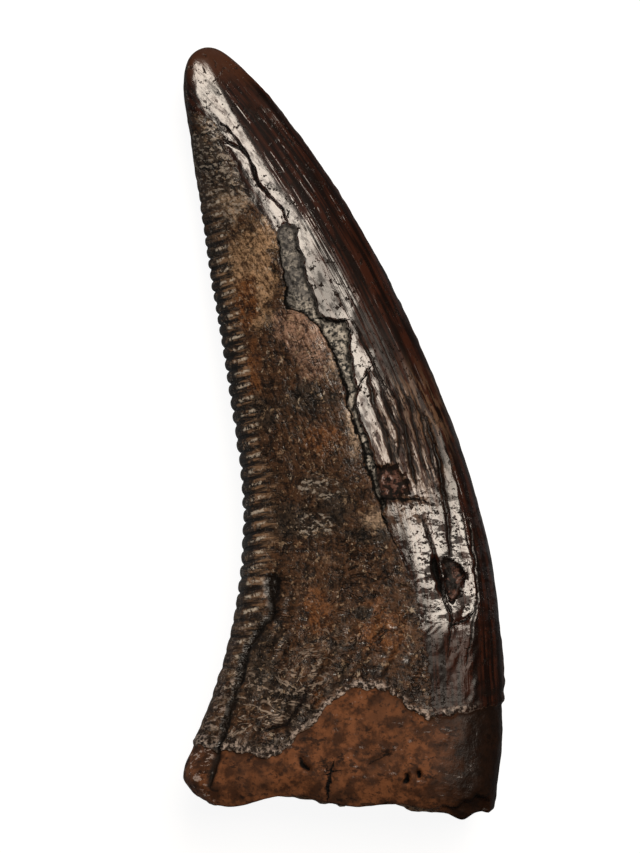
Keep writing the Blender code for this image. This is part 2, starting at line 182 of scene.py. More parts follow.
CHIP_RIGHT = seen_at(
    (278, 236), (280, 228), (286, 224), (294, 225), (300, 228), (299, 236), (301, 246), (306, 258),
    (308, 274), (313, 287), (316, 301), (320, 313), (328, 320), (347, 320), (354, 334), (351, 350),
    (354, 366), (358, 391), (357, 405), (364, 428), (370, 441), (378, 468), (383, 497), (390, 530),
)
CHIP = CHIP_RIGHT + tuple((x, y) for x, y, _ in MAIN_CRACK[21:0:-1])
CRACKS = (MAIN_CRACK,) + all_seen(
    # from the tip down to the chip
    (
        (222, 124, 0.7), (231, 130, 1.0), (239, 140, 1.0), (247, 153, 1.1), (253, 166, 1.5),
        (258, 177, 2.3), (263, 187, 2.0), (270, 195, 1.2), (278, 204, 1.0), (284, 212, 0.9),
        (287, 221, 1.0),
    ),
    ((225, 143, 0.7), (234, 146, 1.1), (243, 150, 1.0), (249, 156, 0.8)),
    # the ends of the enamel plates
    ((321, 318, 0.9), (328, 321, 1.2), (338, 322, 1.1), (348, 320, 0.9)),
    ((374, 364, 0.8), (368, 374, 1.0), (363, 382, 0.9), (358, 391, 0.9)),
    ((382, 497, 0.8), (392, 499, 1.3), (402, 498, 1.4), (418, 497, 1.0), (428, 501, 0.7)),
    ((450, 621, 0.8), (459, 621, 1.2), (467, 617, 1.3), (474, 610, 0.9)),
    ((449, 606, 1.3), (450, 622, 1.0), (450, 640, 0.7), (448, 652, 0.5)),
    # in the root
    ((335, 759, 1.5), (331, 770, 3.0), (330, 785, 3.0), (330, 792, 2.0)),
    ((329, 768, 1.0), (336, 766, 0.7), (341, 765, 0.5)),
)
CRACK_DEPTH = 0.12
# Furrows run down the mesial side, between slivers of enamel.
FURROWS = all_seen(
    ((368, 371, 0.8), (372, 390, 1.2), (382, 418, 1.3), (387, 434, 1.2), (392, 461, 0.6)),
    ((376, 371, 0.7), (383, 388, 0.9), (396, 423, 1.1), (399, 440, 1.0), (398, 456, 0.6)),
    ((388, 376, 0.7), (397, 398, 1.1), (404, 422, 1.6), (414, 470, 1.5), (417, 484, 1.0)),
    ((404, 388, 0.6), (412, 410, 1.0), (418, 438, 1.2), (423, 459, 1.0), (429, 478, 0.7)),
    ((415, 398, 0.5), (424, 424, 0.8), (430, 447, 0.9), (435, 472, 0.7)),
    ((427, 417, 0.8), (434, 440, 1.3), (439, 466, 1.6), (447, 510, 1.4), (452, 552, 0.8)),
    ((354, 322, 0.5), (370, 354, 0.8), (376, 366, 0.7), (385, 382, 0.6), (391, 395, 0.5)),
    ((425, 521, 0.8), (430, 537, 1.3), (434, 552, 1.4)),
    ((470, 520, 0.5), (475, 566, 0.7), (477, 590, 0.8), (475, 610, 0.8), (466, 660, 0.5)),
    # and one crosses the foot of the crown, just above the root
    ((270, 726, 1.0), (288, 720, 1.8), (299, 705, 1.8), (308, 692, 1.0)),
)
FURROW_DEPTH = 0.05
# A low ridge runs down the mesial side; its near slope catches the light.
MESIAL_RIDGE = seen_at(
    (424, 398), (434, 416), (444, 440), (452, 468), (458, 500), (464, 530), (471, 560), (476, 590),
    (475, 615), (468, 645), (462, 670),
)
RIDGE_HEIGHT = 0.05
RIDGE_PROFILE = ((-0.9, 0.0), (-0.45, -0.8), (0.0, 1.0), (0.5, 0.0))  # rise by distance across it
# Fine striae run beside the polished band, above the plates.
STRIAE = seen_at((314, 218, 5), (342, 278, 12), (366, 332, 13), (394, 391, 12))
HOLE = seen_at(
    (430, 554), (436, 552), (441, 558), (442, 572), (446, 588), (449, 603), (450, 616), (447, 606),
    (442, 597), (437, 585), (432, 570),
)
HOLE_DEPTH = 0.36
HOLE_LIP = 0.06  # how far its edge leans in over it
HOLLOWS = all_seen(
    (
        (445, 556), (453, 556), (461, 562), (466, 574), (464, 586), (458, 597), (453, 603), (449, 594),
        (445, 580), (442, 566),
    ),
    ((378, 466), (388, 463), (398, 468), (406, 476), (410, 492), (396, 497), (382, 496), (379, 482)),
)
HOLLOW_DEPTH = 0.11
ROOT_PITS = all_seen(
    ((300, 753, 1.5), (304, 760, 2.6), (310, 765, 1.8)),
    ((419, 768, 3.0), (419, 772, 3.0)),
    ((406, 769, 2.0), (406, 777, 2.0)),
    ((389, 748, 1.0), (370, 756, 1.2)),
)
KEEL_HEIGHT = 0.21  # how far the serrated edge stands above the trough behind it
KEEL_AT, KEEL_WIDTH = 0.54, 0.29
GROOVE = seen_at(
    (274, 580, 7), (274, 592, 7), (275, 609, 2), (262, 626, 3.5), (250, 647, 3), (244, 663, 3),
    (241, 679, 3.5), (235, 699, 3), (228, 718, 3), (221, 749, 2.3), (217, 766, 2.3), (212, 782, 1.5),
)
GROOVE_DEPTH, GROOVE_LIP = 0.17, 0.05
LEDGE = ((3.50, -14.85, 0.30), (4.50, -14.80, 0.48), (5.40, -14.40, 0.36))
LEDGE_DEPTH = 0.24
LOWER_CHIP = ((1.6, -7.9, 0.45), (1.9, -6.6, 0.62), (1.7, -5.3, 0.40), (1.2, -4.2, 0.18))
LOWER_CRACK = ((1.2, -4.2, 0.14), (0.5, -2.0, 0.11), (0.2, 0.6, 0.09), (-0.9, 3.6, 0.07))

# Wrinkles across the foot of the polished band, and slivers of enamel between the furrows, as
# (x, y, half width, half height).
BAND_FOOT = (3.4, -6.6, 0.7, 1.5)
SLIVERS = (2.6, -0.7, 1.4, 2.8)

# The enamel is polished on the mesial side of this line, and worn on the other.
GLOSS_EDGE = seen_at(
    (186, 40), (188, 108), (202, 115), (216, 121), (232, 160), (250, 195), (278, 234), (290, 270),
    (300, 310), (324, 330), (340, 366), (349, 400), (362, 440), (376, 490), (398, 545), (413, 590),
    (424, 640), (432, 700), (446, 812),
)

# Stains on the upper face: (x, y, half width, half height).
STAINS = {
    "ash": (
        (-5.0, 11.0, 0.8, 1.6), (-4.6, 9.4, 1.0, 1.5), (-0.9, -2.1, 0.8, 0.5), (-1.0, -3.7, 0.8, 0.5),
    ),
    "tan": ((-3.4, 6.1, 1.3, 2.0), (-2.9, 7.4, 0.9, 1.0), (-3.2, 4.6, 0.7, 0.9)),
    "rust": ((-0.9, 3.5, 1.1, 1.4), (-1.9, 3.8, 0.8, 1.2)),
    "orange": (
        (-3.7, 4.9, 0.5, 1.2), (-0.5, -0.3, 0.9, 0.6), (1.7, -7.6, 1.2, 1.1), (-0.9, -7.0, 0.8, 0.8),
        (-3.2, -3.0, 0.3, 1.3), (-3.4, 2.4, 0.4, 1.6), (-0.9, -10.3, 0.4, 0.4),
    ),
    "cream": (
        (-4.3, 8.8, 0.6, 0.5), (-0.2, 2.7, 0.35, 0.9), (0.5, 0.2, 0.3, 1.2), (1.3, -3.4, 0.5, 0.6),
    ),
    "dark": (
        (-1.4, 1.2, 1.2, 0.7), (-3.0, 0.7, 0.8, 0.8), (-2.0, -3.4, 1.2, 0.9), (1.1, -4.0, 1.0, 0.45),
        (-0.2, -2.9, 0.9, 0.9), (0.8, -7.0, 0.34, 0.32), (-0.1, -8.3, 0.38, 0.42),
        (0.1, -9.1, 0.40, 0.38), (-3.1, -9.0, 0.9, 2.2), (-1.9, -10.6, 1.0, 0.9),
    ),
}
# Where the polish is partly rubbed away, and where most of it is.
DULL_PATCHES = ((-0.6, 5.6, 0.9, 1.8), (3.1, -6.6, 0.5, 0.9))
WORN_PATCHES = (
    (-3.3, 13.1, 0.5, 0.9), (0.5, 6.6, 0.6, 1.7), (1.3, 4.7, 0.8, 1.4), (2.4, 3.0, 1.0, 1.4),
    (3.3, 1.2, 0.8, 1.5),
)
WORN_DULLNESS = 0.93  # how much of the polish is gone in the worn patches
FOOT_DULLNESS = 0.93  # and at the foot of the crown


# ---- shared curves and noise ----


def ramp(value, start, end):
    """0 before start, 1 after end, and smooth between. start may be the larger of the two."""
    share = np.clip((value - start) / (end - start), 0.0, 1.0)
    return share * share * (3.0 - 2.0 * share)


def bell(value, middle, width):
    return np.exp(-(((value - middle) / width) ** 2))


def patch_bell(x, y, patch):
    middle_x, middle_y, half_width, half_height = patch
    return bell(x, middle_x, half_width) * bell(y, middle_y, half_height)


def x_of_line(line, y):
    """Where a line that runs down the tooth is, at each y."""
    across, along = np.transpose(line[::-1])
    return np.interp(y, along, across)


def turned(points, turn):
    """The points in axes turned about z."""
    cosine, sine = turn
    return np.stack([points @ [cosine, -sine, 0.0], points @ [sine, cosine, 0.0], points[..., 2]], -1)


def spline(knots, points, places):
    """Points at the places of the natural cubic spline that takes these points at these knots."""
    knots, points = np.asarray(knots, float), np.asarray(points, float)
    gaps = np.diff(knots)
    slopes = np.diff(points, axis=0) / (gaps if points.ndim == 1 else gaps[:, None])
    system = np.eye(len(knots))
    for i in range(1, len(knots) - 1):
        system[i, i - 1 : i + 2] = gaps[i - 1], 2.0 * (gaps[i - 1] + gaps[i]), gaps[i]
    bends = np.zeros_like(points)
    bends[1:-1] = 6.0 * np.diff(slopes, axis=0)
    bends = np.linalg.solve(system, bends)
    span = np.clip(np.searchsorted(knots, places) - 1, 0, len(gaps) - 1)
    gap, along = gaps[span], places - knots[span]
    if points.ndim > 1:
        gap, along = gap[:, None], along[:, None]
    before, after = bends[span], bends[span + 1]
    rise = (points[span + 1] - points[span]) / gap - gap * (2.0 * before + after) / 6.0
    return points[span] + along * (rise + along * (before / 2.0 + along * (after - before) / gap / 6.0))


def curve_through(points, count):
    """count places, evenly spaced along the smooth curve through the points."""
    points = np.asarray(points, float)
    knots = np.concatenate([[0.0], np.cumsum(np.linalg.norm(np.diff(points, axis=0), axis=1))])
    return spline(knots, points, np.linspace(0.0, knots[-1], count))


def by_share(pairs, share):
    """The smooth function that takes the (share, value) pairs, at shares of any shape."""
    table = np.asarray(pairs, float)
    return spline(table[:, 0], table[:, 1], np.clip(share, 0, 1).ravel()).reshape(share.shape)


# Large odd numbers that the noise is hashed with.
HASH_BY_AXIS = (73856093, 19349663, 83492791)
HASH_BY_SEED = 2654435761
HASH_STEPS = ((15, 2246822519), (13, 3266489917))


def lumps(points, size, seed):
    """Smooth noise between about -1 and 1. size is a lump's, or its (x, y, z)."""
    points = points / np.asarray(size, float)
    cell = np.floor(points).astype(np.int64)
    part = points - cell
    fade = part**3 * (part * (part * 6.0 - 15.0) + 10.0)
    total = np.zeros(points.shape[:-1])
    for corner in itertools.product((0, 1), repeat=3):
        code = np.bitwise_xor.reduce((cell + corner) * HASH_BY_AXIS, axis=-1) ^ seed * HASH_BY_SEED
        for shift, factor in HASH_STEPS:
            code = (code ^ (code >> shift)) * factor & 0xFFFFFFFF
        weight = np.prod(np.where(corner, fade, 1.0 - fade), axis=-1)
        total += weight * ((code >> 8 & 0xFFFF) / 32767.5 - 1.0)
    return total


def grains(points, *kinds):
    """Several kinds of lumps added up, each given as (height, size, seed)."""
    return sum(height * lumps(points, size, seed) for height, size, seed in kinds)


def to_segment(x, y, start, end):
    """Distance to the segment, how far along it that is (0 to 1), and the side it is on."""
    dx, dy = end[0] - start[0], end[1] - start[1]
    along = np.clip(((x - start[0]) * dx + (y - start[1]) * dy) / (dx * dx + dy * dy), 0.0, 1.0)
    gap = np.hypot(x - start[0] - along * dx, y - start[1] - along * dy)
    return gap, along, np.sign((x - start[0]) * dy - (y - start[1]) * dx)


def stroke_gap(x, y, stroke):
    """Distance out from the stroke's edge: negative inside it."""
    nearest = np.full(x.shape, np.inf)
    for start, end in zip(stroke[:-1], stroke[1:]):
        gap, along, _ = to_segment(x, y, start, end)
        nearest = np.minimum(nearest, gap - start[2] - along * (end[2] - start[2]))
    return nearest


def patch_gap(x, y, corners):
    """Distance out from the patch's edge: negative inside it."""
    nearest = np.full(x.shape, np.inf)
    inside = np.zeros(x.shape, bool)
    for start, end in zip(corners, corners[1:] + corners[:1]):
        nearest = np.minimum(nearest, to_segment(x, y, start, end)[0])
        rise = end[1] - start[1] or TINY
        beyond = x < start[0] + (y - start[1]) / rise * (end[0] - start[0])
        inside ^= ((start[1] > y) != (end[1] > y)) & beyond
    return np.where(inside, -nearest, nearest)


def nearest_gap(gap_of, x, y, marks):
    """Distance out from the nearest of the marks: negative inside it."""
    return np.min([gap_of(x, y, mark) for mark in marks], axis=0)


def lines_near(x, y, strokes):
    """How many half widths to one side of the nearest line each point is, and 1 to 0 for how near.

    The first changes sign across a line, so it stays sharp between the mesh's points.
    """
    nearest, across = np.full(x.shape, np.inf), np.full(x.shape, LINE_LIMIT)
    for stroke in strokes:
        for start, end in zip(stroke[:-1], stroke[1:]):
            gap, along, side = to_segment(x, y, start, end)
            radius = start[2] + along * (end[2] - start[2])
            across = np.where(gap < nearest, side * gap / radius, across)
            nearest = np.minimum(nearest, gap)
    return np.clip(across, -LINE_LIMIT, LINE_LIMIT), ramp(nearest, 0.24, 0.11)


# ---- the form ----


def edges_of_rows():
    """The two ends of each row, from base to tip: one on the carina, one on the mesial edge."""
    outline = curve_through(CARINA_SIDE + (TIP,) + MESIAL_SIDE, OUTLINE_SAMPLES)
    tip = int(np.argmax(outline[:, 1]))
    share = 1.0 - (1.0 - np.linspace(0.0, 1.0, ROWS)) ** ROW_CROWDING
    ends = []
    for side in (outline[: tip + 1], outline[: tip - 1 : -1]):
        shares = np.linspace(0.0, 1.0, len(side))
        ends.append(np.stack([np.interp(share, shares, side[:, k]) for k in (0, 1)], axis=1))
    return share, *ends


def section(corners):
    """A closed quadratic B-spline for each row: its points, from corners of shape (rows, n, k)."""
    parts = []
    count = corners.shape[1]
    for i, steps in enumerate(COLUMNS_A_CORNER):
        corner = corners[:, i]
        start = (corners[:, i - 1] + corner) / 2.0
        end = (corner + corners[:, (i + 1) % count]) / 2.0
        for s in np.arange(steps) / steps:
            parts.append((1 - s) ** 2 * start + 2 * s * (1 - s) * corner + s * s * end)
    return np.stack(parts, axis=1)


class Form:
    """The plain loft, with what the carving and the material need to know at each point."""

    def __init__(self):
        share, carina, mesial = edges_of_rows()
        self.row_share = share
        self.width = np.linalg.norm(mesial - carina, axis=1)
        across = np.hstack([spline(STATIONS, ACROSS, share), np.tile(LOWER_ACROSS, (ROWS, 1))])
        depth = self.width * spline(STATIONS, PLUMPNESS, share)
        upper = spline(STATIONS, HEIGHTS, share) * (UPPER_SHARE * depth)[:, None]
        lower = np.outer(LOWER_SHARE * depth, LOWER_HEIGHTS)
        points = section(np.stack([across, np.hstack([upper, lower])], -1))
        self.place, self.height = points[..., 0], points[..., 1]
        self.share = np.broadcast_to(share[:, None], self.place.shape)
        plan = carina[:, None] + (mesial - carina)[:, None] * self.place[..., None]
        plan[..., 1] -= by_share(BASE_EDGE, self.place) * ramp(self.share * LENGTH, BASE_FADE, 0.0)
        belly = -self.height.min(axis=1)
        lifted = ramp(share, 0.60, 0.95)
        middle = (belly - REST_WEAR) * (1.0 - lifted) + TIP_HEIGHT * lifted
        self.grid = np.concatenate([plan, (middle[:, None] + self.height)[..., None]], axis=-1)
        self.upper = ramp(self.height, 0.0, 0.3)
        self.lower = ramp(-self.height, 0.0, 0.3)
        self.inward = self.place * self.width[:, None]
        self.from_mesial = (1.0 - self.place) * self.width[:, None]
        self.find_denticles()
        self.find_root()

    def find_denticles(self):
        carina = curve_through(CARINA_SIDE + (TIP,), CARINA_SAMPLES)
        length = np.linalg.norm(np.diff(carina, axis=0), axis=1).sum()
        from_tip = (1.0 - self.row_share) * length
        fine = np.linspace(0.0, length, PHASE_SAMPLES)
        pitch = np.interp(fine, *np.transpose(DENTICLE_PITCH))
        count = np.concatenate([[0.0], np.cumsum(np.diff(fine) / pitch[1:])])
        self.denticle_wear = np.interp(from_tip, *np.transpose(DENTICLE_WEAR))[:, None]
        self.phase = np.interp(from_tip, fine, count)[:, None] + SULCUS_SLANT * self.inward

    def find_root(self):
        upper_edge = np.interp(self.grid[..., 0], *np.transpose(ROOT_EDGE_UPPER))
        lower_edge = by_share(ROOT_EDGE_LOWER, self.place)
        edge = lower_edge + (upper_edge - lower_edge) * ramp(self.height, -0.5, 0.5)
        ragged = grains(self.grid, (0.09, 0.30, 41), (0.05, 0.14, 42))
        ragged += grains(self.grid, (0.30, 1.3, 43)) * (1.0 - self.upper)
        self.root_gap = self.grid[..., 1] - edge + ragged

    def normals(self):
        along = np.gradient(self.grid, axis=0)
        around = np.roll(self.grid, -1, axis=1) - np.roll(self.grid, 1, axis=1)
        normal = np.cross(around, along)
        return normal / np.maximum(np.linalg.norm(normal, axis=-1, keepdims=True), TINY)


def carve(form):
    """How deep the surface is cut along its normal, in millimetres, and what the material reads."""
    grid, upper, lower = form.grid, form.upper, form.lower
    x = grid[..., 0] + grains(grid, (0.07, 0.55, 51), (0.05, 0.24, 52))
    y = grid[..., 1] + grains(grid, (0.07, 0.55, 53), (0.05, 0.24, 54))
    ragged = grains(grid, (0.07, 0.34, 1), (0.035, 0.15, 2))
    away = FAR * (1.0 - upper)
    away_lower = FAR * (1.0 - lower)

    # the keel, its rounded serrations with narrow notches, and the sulci that run in from them
    keel = bell(form.inward, KEEL_AT, KEEL_WIDTH)
    cut = -KEEL_HEIGHT * keel * ramp(form.denticle_wear, 0.0, 0.8) * (upper + lower)
    from_crown = 2.0 * np.abs(form.phase % 1.0 - 0.5)
    lobe = 1.0 - np.sqrt(np.maximum(1.0 - 0.97 * from_crown**2.2, 0.0))
    reach = 1.0 - 0.5 * ramp(form.inward, 0.10, 0.60) - 0.5 * ramp(form.inward, 0.60, DENTICLE_REACH)
    cut = cut + DENTICLE_DEPTH * form.denticle_wear * lobe * reach

    chip = patch_gap(x, y, CHIP) + 0.8 * ragged + away
    chip = np.minimum(chip, stroke_gap(x, y, LOWER_CHIP) + ragged + away_lower)
    rough_floor = grains(grid, (0.07, 0.34, 3), (0.05, 0.16, 4))
    cut = np.maximum(cut, (ENAMEL_DEPTH + rough_floor) * ramp(chip, 0.01, -0.12))

    crack = nearest_gap(stroke_gap, x, y, CRACKS) + 0.3 * ragged + away
    crack = np.minimum(crack, stroke_gap(x, y, LOWER_CRACK) + 0.5 * ragged + away_lower)
    cut += CRACK_DEPTH * ramp(crack, 0.02, -0.07)
    for stroke in FURROWS:
        cut += FURROW_DEPTH * ramp(stroke_gap(x, y, stroke) + away, 0.04, -0.05)

    hollow = nearest_gap(patch_gap, x, y, HOLLOWS) + 0.8 * ragged + away
    cut = np.maximum(cut, (HOLLOW_DEPTH + 0.5 * rough_floor) * ramp(hollow, 0.03, -0.12))
    hole = patch_gap(x, y, HOLE) + HOLE_LIP + 0.3 * ragged + away
    hole = np.minimum(hole, nearest_gap(stroke_gap, x, y, ROOT_PITS) + 0.5 * ragged + away)
    cut = np.maximum(cut, HOLE_DEPTH * ramp(hole, 0.05, -0.12))
    groove = stroke_gap(x, y, GROOVE) + 0.6 * ragged + away
    cut += GROOVE_DEPTH * upper * ramp(groove, 0.12, -0.10) * (0.8 + 0.4 * lumps(grid, 0.5, 15))
    lip = bell(groove, 0.26, 0.12) * ramp(-y, 6.6, 7.4)
    cut -= GROOVE_LIP * upper * lip * (0.6 + 0.6 * lumps(grid, 0.4, 16))
    ledge = ramp(stroke_gap(x, y, LEDGE) + ragged, 0.06, -0.05)
    cut = np.maximum(cut, LEDGE_DEPTH * upper * ledge)

    # the root stands back from the enamel, which ends on it in a crust
    cut += ROOT_STEP * ramp(form.root_gap, 0.06, -0.05)
    crust = bell(form.root_gap, 0.13, 0.12)
    cut -= ENAMEL_LIP * crust * (0.6 + 0.5 * lumps(grid, 0.22, 5))

    # wrinkles run up towards the mesial edge round the foot of the crown
    crown_foot = ramp(-y, 5.0, 8.5) * ramp(form.root_gap, 0.0, 0.6) * ramp(form.place, 0.08, 0.22)
    wrinkles = grains(turned(grid, WRINKLE_TURN), (1.0, (0.36, 1.2, 2.0), 6), (0.6, (0.17, 0.6, 1.0), 7))
    on_band = ramp(grid[..., 0], 1.6, 2.6) * upper
    cut += WRINKLE_DEPTH * wrinkles * crown_foot * (1.0 - 0.6 * on_band)
    # finer ones lie across the polished band at its lower end
    band_foot = patch_bell(x, y, BAND_FOOT) * upper
    cut += BAND_WRINKLE_DEPTH * band_foot * lumps(turned(grid, BAND_WRINKLE_TURN), (0.55, 0.20, 1.0), 13)

    # long streaks down the mesial side, and slow waves in the whole surface
    flow = np.stack([form.from_mesial, form.share * LENGTH, 3.0 * form.lower], -1)
    mesial = ramp(form.place, 0.35, 0.6) * ramp(form.root_gap, 0.0, 1.0)
    mesial = mesial * ramp(1.0 - form.share, 0.02, 0.12)
    along_ridge = ramp(y, -9.0, -7.6) * ramp(y, 1.4, 0.4) * upper
    rise = np.interp(x - x_of_line(MESIAL_RIDGE, y), *np.transpose(RIDGE_PROFILE))
    cut -= RIDGE_HEIGHT * rise * along_ridge
    slivers = patch_bell(x, y, SLIVERS) * upper
    cut += (0.002 * mesial + 0.022 * slivers) * lumps(flow, (0.20, 2.2, 1.0), 8)
    cut += WAVE_DEPTH * lumps(grid, 1.5, 9) * ramp(form.share, 0.96, 0.80)
    worn = 1.0 - ramp(form.place, 0.3, 0.5) * upper
    crown_end = ramp(form.share, 0.99, 0.90)
    cut += (0.004 + 0.016 * worn) * lumps(grid, 0.45, 10) * crown_end
    cut += (0.0015 + 0.014 * worn) * lumps(grid, (0.20, 0.28, 0.2), 14) * crown_end
    on_root = ramp(form.root_gap, 0.1, -0.1)
    cut += on_root * grains(grid, (0.020, 0.32, 11), (0.030, 0.9, 12))

    rubbed_off = ramp(stain_amount(grid, WORN_PATCHES), 0.08, 0.55)
    dull = np.maximum(0.5 * stain_amount(grid, DULL_PATCHES), WORN_DULLNESS * rubbed_off)
    band_gap = grid[..., 0] - x_of_line(GLOSS_EDGE, grid[..., 1])
    lower_gap = (form.place - 0.45) * form.width[:, None]
    layers = {
        "tip": ramp(grid[..., 1], 13.2, 14.3),
        "striae": ramp(stroke_gap(x, y, STRIAE) + away, 0.25, -0.15),
        "polish": (1.0 - FOOT_DULLNESS * ramp(-y, 6.9, 8.1) * upper) * (1.0 - dull) * (1.0 - 0.35 * slivers),
        "slivers": slivers,
        "foot": ramp(-grid[..., 1], 0.0, 3.6) * upper,
        "root_gap": form.root_gap,
        "gloss_gap": band_gap * upper + lower_gap * (1.0 - upper),
        "carina_gap": form.inward,
        "denticle_phase": form.phase,
        "denticle_wear": np.broadcast_to(form.denticle_wear, x.shape),
        "place": form.place,
        "upper": upper,
        "break": np.zeros(x.shape),
    }
    for name, gap in {"chip": chip, "hole": hole, "hollow": hollow, "groove": groove}.items():
        layers[name + "_gap"] = np.minimum(gap, GAP_LIMIT)
    for name, strokes in {"crack": CRACKS, "furrow": FURROWS}.items():
        across, near = lines_near(x, y, strokes)
        layers |= {name + "_across": across, name + "_near": near * upper}
    for name, stains in STAINS.items():
        layers[name] = stain_amount(grid, stains) * upper
    return cut, layers, flow


def stain_amount(grid, stains):
    """0 to 1, with soft and ragged edges."""
    x, y = grid[..., 0], grid[..., 1]
    amount = np.zeros(x.shape)
    waver = grains(grid, (0.30, 1.1, 21), (0.22, 0.5, 22), (0.12, 0.24, 23))
    for cx, cy, rx, ry in stains:
        out = np.hypot((x - cx) / rx, (y - cy) / ry) + waver
        amount = np.maximum(amount, ramp(out, 1.45, 0.25))
    return amount


# ---- the mesh ----


def break_across(rim):
    """The broken base inside its rim: the points within, and triangles over rim and points."""
    low, high = rim.min(axis=0), rim.max(axis=0)
    x, z = np.meshgrid(
        np.arange(low[0], high[0], BREAK_GRAIN), np.arange(low[2], high[2], BREAK_GRAIN * 0.87)
    )
    x[1::2] += BREAK_GRAIN / 2.0
    x, z = x.ravel(), z.ravel()
    gap = np.hypot(x[:, None] - rim[:, 0], z[:, None] - rim[:, 2])
    after = np.roll(rim, -1, axis=0)
    crossing = (rim[:, 2] > z[:, None]) != (after[:, 2] > z[:, None])
    rise = np.where(after[:, 2] == rim[:, 2], TINY, after[:, 2] - rim[:, 2])
    beyond = x[:, None] < rim[:, 0] + (z[:, None] - rim[:, 2]) / rise * (after[:, 0] - rim[:, 0])
    inside = ((crossing & beyond).sum(axis=1) % 2 == 1) & (gap.min(axis=1) > 0.6 * BREAK_GRAIN)
    x, z, gap = x[inside], z[inside], gap[inside]
    weight = 1.0 / gap**2
    y = (weight * rim[:, 1]).sum(axis=1) / weight.sum(axis=1)
    in_from_rim = gap.min(axis=1)
    points = np.stack([x, y, z], axis=-1)
    rough = grains(points, (0.26, 1.3, 11), (0.14, 0.55, 17), (0.07, 0.25, 18))
    points[:, 1] += BASE_DISH * ramp(in_from_rim, 0.3, 2.6) + rough * ramp(in_from_rim, 0.0, 0.7)
    flat = [Vector((p[0], p[2])) for p in np.concatenate([rim, points])]
    loop = [(i, (i + 1) % len(rim)) for i in range(len(rim))]
    return points, geometry.delaunay_2d_cdt(flat, loop, [], 1, 1e-7)[2]


def fit_to(points, box):
    """The points moved, and stretched by under 1 %, so that their box is the CAD node's."""
    low, high = points.min(axis=0), points.max(axis=0)
    goal_low, goal_high = np.array(box[0]) / MM, np.array(box[1]) / MM
    return goal_low + (points - low) * (goal_high - goal_low) / (high - low)


def tooth_mesh():
    form = Form()
    cut, layers, flow = carve(form)
    grid = form.grid - form.normals() * cut[..., None]
    tip = grid[-1].mean(axis=0)
    grid = grid[:-1]
    grid[..., 2] = np.maximum(grid[..., 2], 0.0)
    rows, columns = grid.shape[:2]
    within, triangles = break_across(grid[0])
    points = np.concatenate([grid.reshape(-1, 3), [tip], within])
    points = fit_to(points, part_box(NODE))
    index = np.arange(rows * columns).reshape(rows, columns)
    after = np.roll(index, -1, axis=1)
    quads = np.stack([index[:-1], after[:-1], after[1:], index[1:]], -1).reshape(-1, 4)
    top = [(rows * columns, int(a), int(b)) for a, b in zip(index[-1], after[-1])]
    base = [[i if i < columns else i - columns + rows * columns + 1 for i in t] for t in triangles]
    mesh = bpy.data.meshes.new("fossil_tooth")
    mesh.from_pydata((points * MM).tolist(), [], quads.tolist() + top + base)
    mesh.validate()
    mesh.shade_smooth()

    # the broken base is far from every mark, and well below the root's edge
    at_break = {name: GAP_LIMIT if name.endswith("gap") else 0.0 for name in layers}
    at_break |= {"break": 1.0, "root_gap": -GAP_LIMIT}
    for name, values in layers.items():
        on_base = np.full(len(within), at_break[name])
        whole = np.concatenate([values[:-1].ravel(), [values[-1].mean()], on_base])
        mesh.attributes.new(name, "FLOAT", "POINT").data.foreach_set("value", whole.astype(np.float32))
    flows = np.concatenate([flow[:-1].reshape(-1, 3), [flow[-1].mean(axis=0)], within])
    mesh.attributes.new("flow", "FLOAT_VECTOR", "POINT").data.foreach_set(
        "vector", flows.astype(np.float32).ravel()
    )
    return mesh


# ---- the material ----

BODY_IOR = 1.22
POLISH_IOR = 1.86
POLISH_ROUGHNESS = 0.17
RELIEF = 0.1  # what a height of 1 in the material's relief stands for

# The worn face is mottled between a dark and a light tone, which differ from stain to stain.
# The mottle follows the relief, so it is partly painted shade, darker in the relief's hollows.
FACE_TONES = ((24, 16, 11), (80, 55, 37))
STAIN_TONES = {
    "ash": ((12, 10, 8), (72, 61, 52)),
    "tan": ((64, 44, 28), (172, 140, 108)),
    "rust": ((62, 42, 33), (156, 124, 104)),
    "orange": ((52, 30, 17), (120, 78, 46)),
    "cream": ((70, 54, 42), (176, 152, 128)),
    "dark": ((10, 8, 7), (64, 52, 42)),
}
# Marks on the worn face: noise as Nodes.marks takes it, how strong they are, and their colour.
# The first two are dark specks; the two light ones are painted highlights, glints.
FACE_MARKS_AND_GLINTS = (
    ((1.5, 5.0, 0.75, 0.54, 0.62), 0.75, (20, 14, 11)),
    ((3.1, 3.0, 0.70, 0.62, 0.66), 0.8, (13, 10, 8)),
    ((4.0, 4.0, 0.75, 0.59, 0.64), 0.5, (168, 142, 114)),
    (((3.6, 2.0, 3.0), 4.0, 0.72, 0.63, 0.67), 0.7, (176, 160, 140)),
)


def linear(tone):
    """A linear colour from the 0 to 255 that a picture of the surface would show."""
    channels = [c / 255.0 for c in tone]
    return (*(c / 12.92 if c <= 0.04045 else ((c + 0.055) / 1.055) ** 2.4 for c in channels), 1.0)


